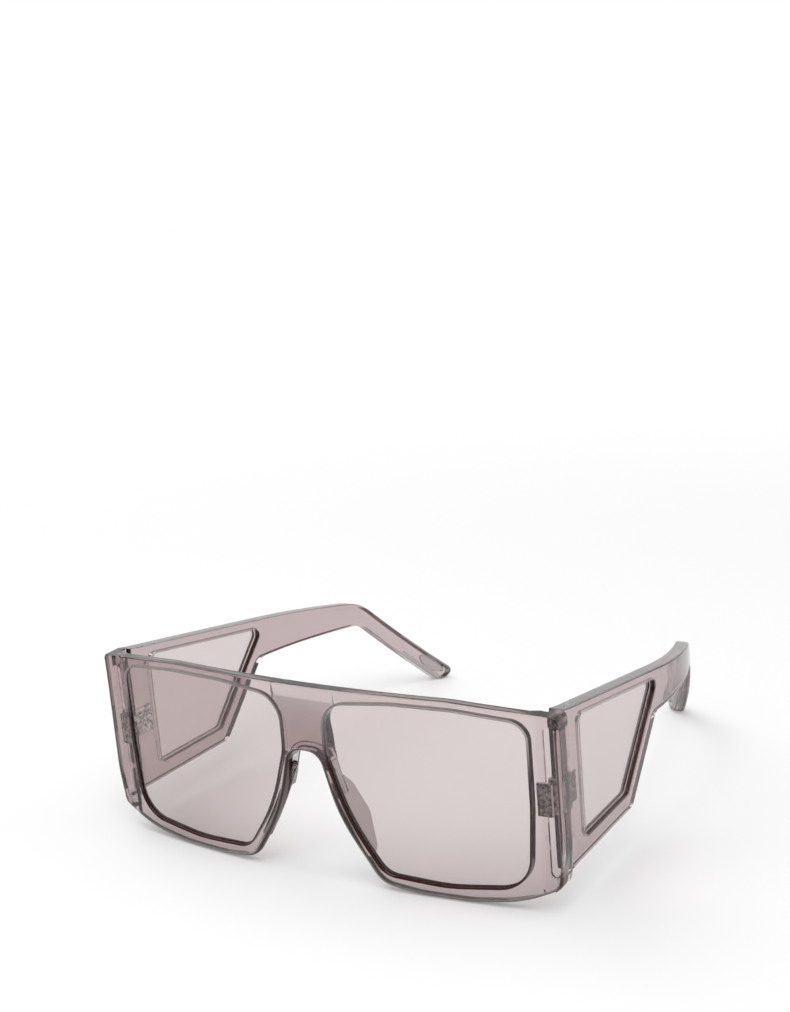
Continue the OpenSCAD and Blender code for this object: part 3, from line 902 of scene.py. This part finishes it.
# A flat side lens of the same tinted sheet sits in a groove round each temple's window. It is
# pushed in as the front lenses are, and turns with its temple.
for name, side in SIDES:
    lens = lens_sheet("side_lens_panel_" + name, window,
                      lambda y, z, d: temple_place(y, z, d + SIDE_SINK, side), temple_way(0, side))
    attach(lens, name + "_temple")
    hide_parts("side_lens_" + name)

# The hinges are cast in bare metal and tumbled, which leaves them dull and softly grained. One
# leaf of each is pressed into the front and the other into the temple, and a screw joins them.


def tumbled_metal(name, colour, roughness):
    """Bare metal with a fine grain and small dents."""
    material = bpy.data.materials.new(name)
    material.use_nodes = True
    tree = material.node_tree
    gloss = tree.nodes["Principled BSDF"]
    gloss.inputs["Metallic"].default_value = 1
    spot = node(tree, "ShaderNodeTexCoord").outputs["Object"]
    grain = node(tree, "ShaderNodeTexNoise", {
        "Vector": spot, "Scale": 1100, "Detail": 5, "Roughness": 0.6}).outputs["Fac"]
    blotch = node(tree, "ShaderNodeMapRange", {"Value": grain, "From Min": 0.38, "From Max": 0.62})
    shade = node(tree, "ShaderNodeMix", {
        "Factor": blotch.outputs["Result"], "A": (*[c * 0.25 for c in colour], 1),
        "B": (*[min(1, c * 1.5) for c in colour], 1)}, data_type="RGBA")
    dull = node(tree, "ShaderNodeMapRange", {
        "Value": grain, "To Min": roughness * 0.7, "To Max": roughness * 1.3})
    dents = node(tree, "ShaderNodeBump", {"Height": grain, "Strength": 0.9, "Distance": 0.0006})
    tree.links.new(shade.outputs["Result"], gloss.inputs["Base Color"])
    tree.links.new(dull.outputs["Result"], gloss.inputs["Roughness"])
    tree.links.new(dents.outputs["Normal"], gloss.inputs["Normal"])
    return material


hinge_metal = tumbled_metal("hinge_metal", (0.55, 0.53, 0.51), 0.45)
for solid_name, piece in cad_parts.items():
    if "hinge" in solid_name:
        for place in piece.material_slots:
            place.material = hinge_metal

# Each hinge turns on one slotted cheese-head screw of bright turned metal, driven in from above.
# The screws stay with the front when the temples fold.
SCREW_HEAD_R = 1.18
SCREW_HEAD_H = 0.6
SCREW_SLOT_W = 0.3
SCREW_R = 0.58
SCREW_TURN = math.radians(35)
screw_metal = tumbled_metal("screw_metal", (0.6, 0.58, 0.56), 0.3)
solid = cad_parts["hinge_screw_left"]
heights = [(solid.matrix_world @ Vector(corner)).z / MM for corner in solid.bound_box]
tree, given = node_group("slotted_screw", ("Head radius", "Head height", "Slot width",
                                           "Shank radius", "Shank length"))
head_height = given.outputs["Head height"]
head = node(tree, "GeometryNodeMeshCylinder", {
    "Vertices": 40, "Radius": given.outputs["Head radius"], "Depth": head_height})
bar_size = node(tree, "ShaderNodeCombineXYZ", {
    "X": 5 * MM, "Y": given.outputs["Slot width"], "Z": head_height})
bar = node(tree, "GeometryNodeMeshCube", {"Size": bar_size.outputs["Vector"]})
half_up = node(tree, "ShaderNodeMath", {0: head_height, 1: 0.55}, operation="MULTIPLY")
lifted = node(tree, "ShaderNodeCombineXYZ", {"Z": half_up.outputs["Value"]})
raised = node(tree, "GeometryNodeTransform", {
    "Geometry": bar.outputs["Mesh"], "Translation": lifted.outputs["Vector"],
    "Rotation": (0, 0, SCREW_TURN)})
slotted = node(tree, "GeometryNodeMeshBoolean", {
    "Mesh 1": head.outputs["Mesh"], "Mesh 2": raised.outputs["Geometry"]}, operation="DIFFERENCE")
shank = node(tree, "GeometryNodeMeshCylinder", {
    "Vertices": 32, "Radius": given.outputs["Shank radius"],
    "Depth": given.outputs["Shank length"]})
half_down = node(tree, "ShaderNodeMath", {
    0: given.outputs["Shank length"], 1: -0.5}, operation="MULTIPLY")
sunk = node(tree, "ShaderNodeCombineXYZ", {"Z": half_down.outputs["Value"]})
lowered = node(tree, "GeometryNodeTransform", {
    "Geometry": shank.outputs["Mesh"], "Translation": sunk.outputs["Vector"]})
whole = node(tree, "GeometryNodeJoinGeometry", {"Geometry": slotted.outputs["Mesh"]})
tree.links.new(lowered.outputs["Geometry"], whole.inputs["Geometry"])
head_middle = max(heights) - SCREW_HEAD_H / 2
screw_spots = [(s * AXIS_X, AXIS_Y - OVERALL_DEPTH / 2, head_middle) for s in (-1, 1)]
screw_sizes = {
    "Head radius": SCREW_HEAD_R, "Head height": SCREW_HEAD_H, "Slot width": SCREW_SLOT_W,
    "Shank radius": SCREW_R, "Shank length": head_middle - min(heights),
}
screws = set_at_spots("hinge_screws", tree, given, whole.outputs["Geometry"], screw_spots,
                      screw_sizes, screw_metal)
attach(screws, "front")
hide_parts("hinge_screw_left", "hinge_screw_right")

# The glasses stand on a plain white table with a matt top. A little way off it fades into the
# white of the studio.
WHITE = (1, 1, 1, 1)
TABLE_HALF = 3
table_corners = [(-TABLE_HALF, -TABLE_HALF, 0), (TABLE_HALF, -TABLE_HALF, 0),
                 (TABLE_HALF, TABLE_HALF, 0), (-TABLE_HALF, TABLE_HALF, 0)]
table = bpy.data.meshes.new("table")
table.from_pydata(table_corners, [], [(0, 1, 2, 3)])
floor = bpy.data.objects.new("table", table)
bpy.context.scene.collection.objects.link(floor)


def in_sight(tree):
    """Whether the camera sees a place straight, and whether it sees it at all.

    The second also counts what shows through the plastic or in its polish.
    """
    rays = node(tree, "ShaderNodeLightPath").outputs
    straight = rays["Is Camera Ray"]
    polish = node(tree, "ShaderNodeMath", {0: straight, 1: rays["Is Glossy Ray"]},
                  operation="MAXIMUM").outputs[0]
    through = node(tree, "ShaderNodeMath", {0: polish, 1: rays["Is Transmission Ray"]},
                   operation="MAXIMUM").outputs[0]
    return straight, through


white = bpy.data.materials.new("white_table")
white.use_nodes = True
tree = white.node_tree
board = tree.nodes["Principled BSDF"]
board.inputs["Base Color"].default_value = (0.8, 0.8, 0.8, 1)
board.inputs["Roughness"].default_value = 0.9
board.inputs["Specular IOR Level"].default_value = 0.1
straight, seen = in_sight(tree)
lift = node(tree, "ShaderNodeMath", {0: seen, 1: 0.15}, operation="MULTIPLY")
glow = node(tree, "ShaderNodeEmission", {"Color": WHITE, "Strength": lift.outputs[0]})
near = node(tree, "ShaderNodeAddShader", {0: board.outputs["BSDF"], 1: glow.outputs["Emission"]})
spot = node(tree, "ShaderNodeTexCoord").outputs["Object"]
reach = node(tree, "ShaderNodeVectorMath", {0: spot}, operation="LENGTH")
fade = node(tree, "ShaderNodeMapRange", {
    "Value": reach.outputs["Value"], "From Min": 0.16, "From Max": 0.5},
    interpolation_type="SMOOTHSTEP")
place = node(tree, "ShaderNodeSeparateXYZ", {0: spot})
behind_camera = node(tree, "ShaderNodeMapRange", {
    "Value": place.outputs["Y"], "From Min": -0.7, "From Max": -0.25, "To Min": 0.08},
    interpolation_type="SMOOTHSTEP")
bright = node(tree, "ShaderNodeMath", {
    0: behind_camera.outputs["Result"], 1: straight}, operation="MAXIMUM")
strength = node(tree, "ShaderNodeMath", {0: bright.outputs[0], 1: seen}, operation="MULTIPLY")
far = node(tree, "ShaderNodeEmission", {"Color": WHITE, "Strength": strength.outputs[0]})
spread = node(tree, "ShaderNodeMixShader", {
    "Fac": fade.outputs["Result"], 1: near.outputs["Shader"], 2: far.outputs["Emission"]})
tree.links.new(spread.outputs["Shader"], tree.nodes["Material Output"].inputs["Surface"])
table.materials.append(white)

# The room round the table is white where the photograph looks, and darker behind the camera and
# overhead, which puts dark lines along the clear plastic's edges.
world = bpy.data.worlds.new("white_studio")
bpy.context.scene.world = world
world.use_nodes = True
tree = world.node_tree
straight, seen = in_sight(tree)
way = node(tree, "ShaderNodeTexCoord").outputs["Generated"]
parts = node(tree, "ShaderNodeSeparateXYZ", {0: way})
room = node(tree, "ShaderNodeMapRange", {
    "Value": parts.outputs["Y"], "From Min": -0.45, "From Max": 0.15, "To Min": 0.05,
    "To Max": 1.0}, interpolation_type="SMOOTHSTEP")
ceiling = node(tree, "ShaderNodeMapRange", {
    "Value": parts.outputs["Z"], "From Min": 0.35, "From Max": 0.7, "To Min": 1.0,
    "To Max": 0.3}, interpolation_type="SMOOTHSTEP")
shade = node(tree, "ShaderNodeMath", {
    0: room.outputs["Result"], 1: ceiling.outputs["Result"]}, operation="MULTIPLY")
bright = node(tree, "ShaderNodeMath", {0: shade.outputs[0], 1: straight}, operation="MAXIMUM")
strength = node(tree, "ShaderNodeMapRange", {
    "Value": seen, "To Min": 0.42, "To Max": bright.outputs[0]})
background = tree.nodes["Background"]
background.inputs["Color"].default_value = WHITE
tree.links.new(strength.outputs["Result"], background.inputs["Strength"])

# Three soft lamps hang over the table: a large one above the front, one on the camera's left, and
# a weak one on its right.
for name, spot, width, power in (
        ("lamp_above", (0.12, -0.35, 1.1), 0.9, 6.9), ("lamp_left", (-0.8, 0.15, 1.0), 0.9, 5.2),
        ("lamp_right", (1.0, 0.3, 0.9), 0.8, 1.5)):
    lamp = bpy.data.lights.new(name, "AREA")
    lamp.size = width
    lamp.energy = power
    holder = bpy.data.objects.new(name, lamp)
    holder.location = spot
    holder.rotation_euler = (-Vector(spot)).to_track_quat("-Z", "Y").to_euler()
    bpy.context.scene.collection.objects.link(holder)

# The camera stands in front of the wearer's left side, a little above the brow, as in the
# photograph's lower picture.
FRAME_H = 1012
FOCAL_LENGTH = 1746.7
FILM_H = 36
turn = math.radians(32.874)
drop = math.radians(14.738)
roll = math.radians(-4.936)
ahead = Vector((-math.sin(turn) * math.cos(drop), math.cos(turn) * math.cos(drop), -math.sin(drop)))
right = Vector((math.cos(turn), math.sin(turn), 0))
up = right.cross(ahead)
level_right = right * math.cos(roll) + up * math.sin(roll)
level_up = up * math.cos(roll) - right * math.sin(roll)
lens_data = bpy.data.cameras.new("camera")
lens_data.sensor_width = FILM_H
lens_data.lens = FOCAL_LENGTH * FILM_H / FRAME_H
lens_data.clip_start = 0.01
camera = bpy.data.objects.new("camera", lens_data)
pose = Matrix((level_right, level_up, -ahead)).transposed().to_4x4()
pose.translation = Vector((264.03, -426.44, 218.63)) * MM
camera.matrix_world = pose
bpy.context.scene.collection.objects.link(camera)
bpy.context.scene.camera = camera
bpy.context.scene.view_settings.view_transform = "Standard"
